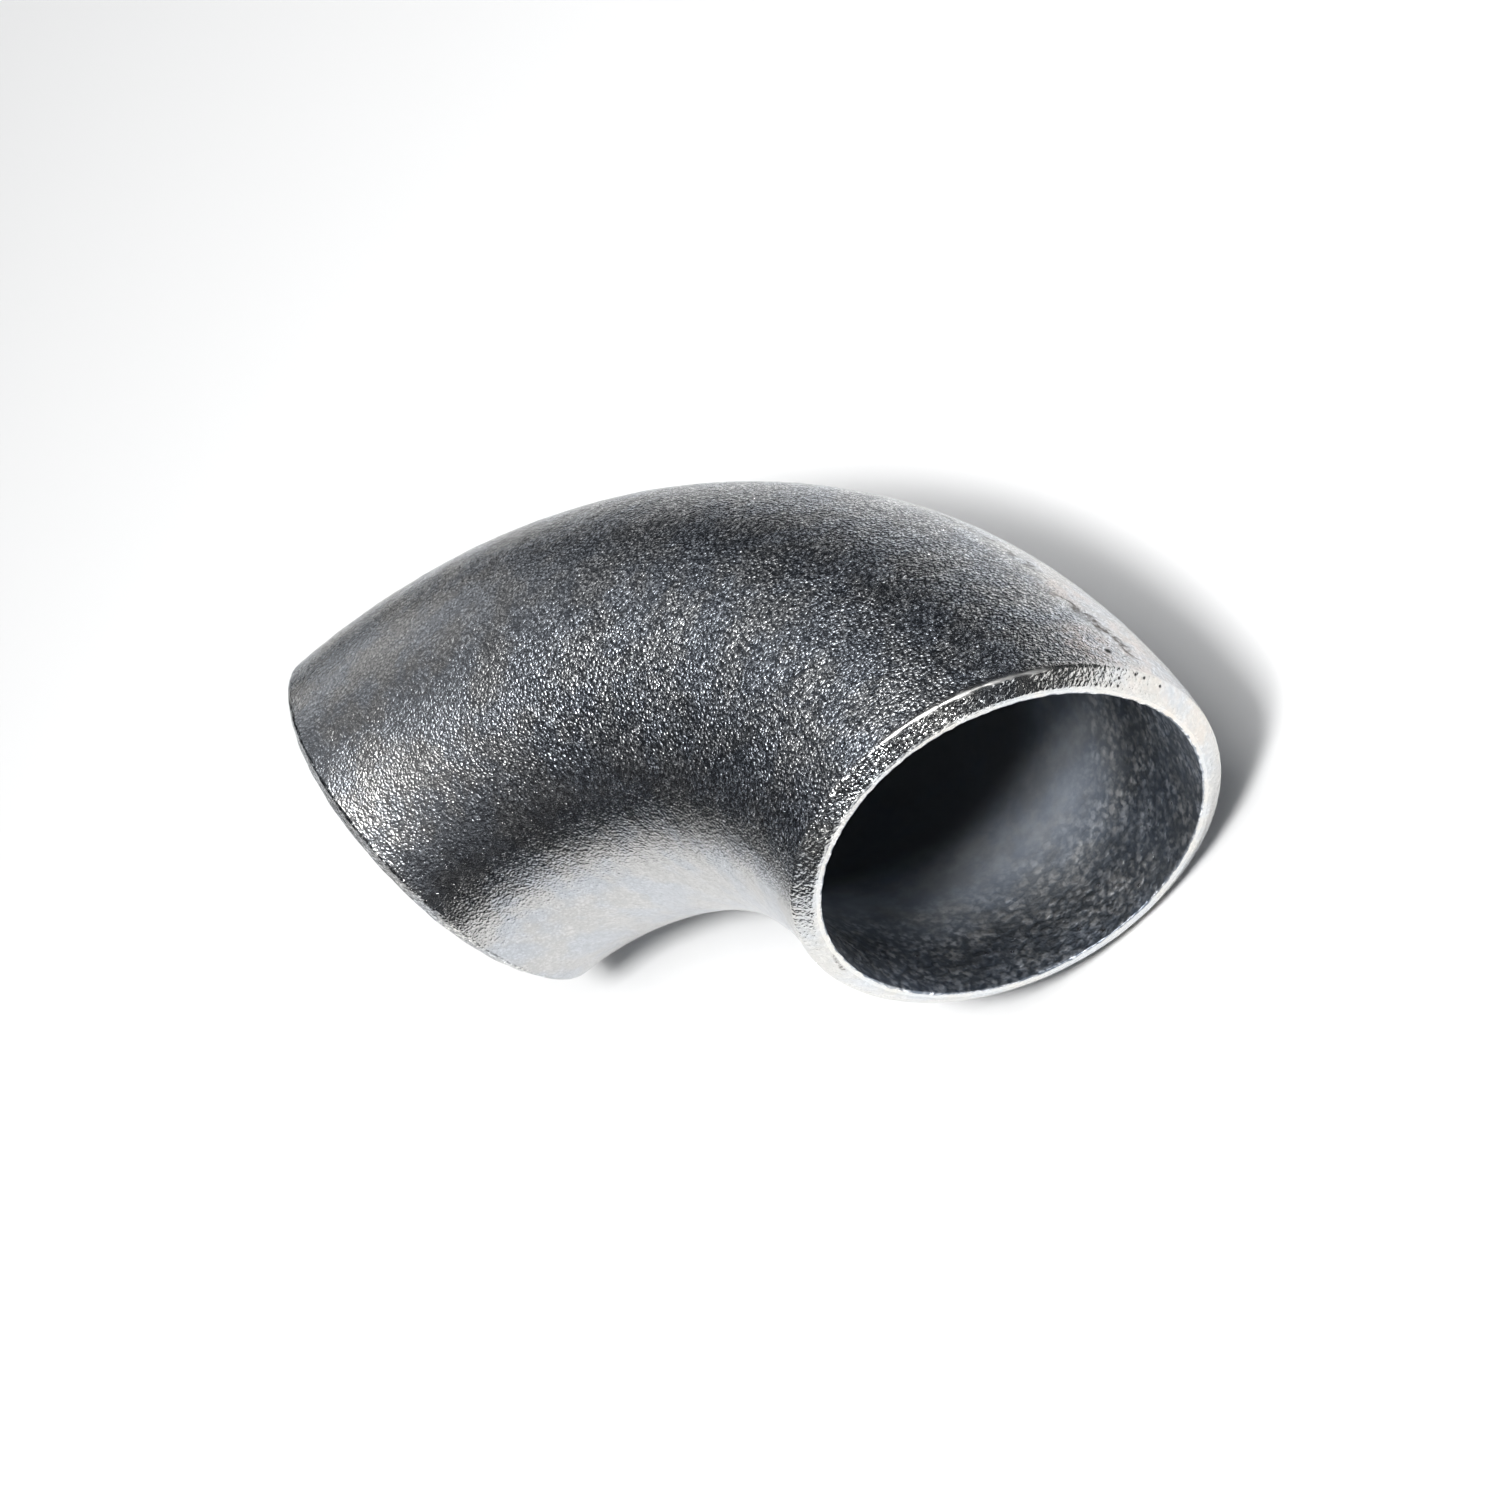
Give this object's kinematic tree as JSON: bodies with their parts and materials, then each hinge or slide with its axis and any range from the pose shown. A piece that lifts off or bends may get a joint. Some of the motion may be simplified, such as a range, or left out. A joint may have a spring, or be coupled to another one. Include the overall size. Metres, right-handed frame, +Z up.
{
  "type": "butt weld pipe elbow",
  "caption": "Quarter-turn butt-welding pipe elbow, long radius, bare blasted steel tube bent in one piece with both ends bevelled for welding.",
  "frame": {"origin": "on the surface that the elbow lies on, under the middle of its bounding box", "axes": "+Z up from the flat-lying elbow, square to the plane of the bend; -Y out of the near weld end; -X out of the far weld end"},
  "size_m": [0.1062, 0.1062, 0.0603],
  "materials": {
    "blasted_steel": "bare carbon steel, shot blasted outside and in, satin with a fine sparkling grain; machined weld bevels a little brighter"
  },
  "bodies": {
    "root": {"elbow_body": "blasted_steel"}
  },
  "joints": []
}
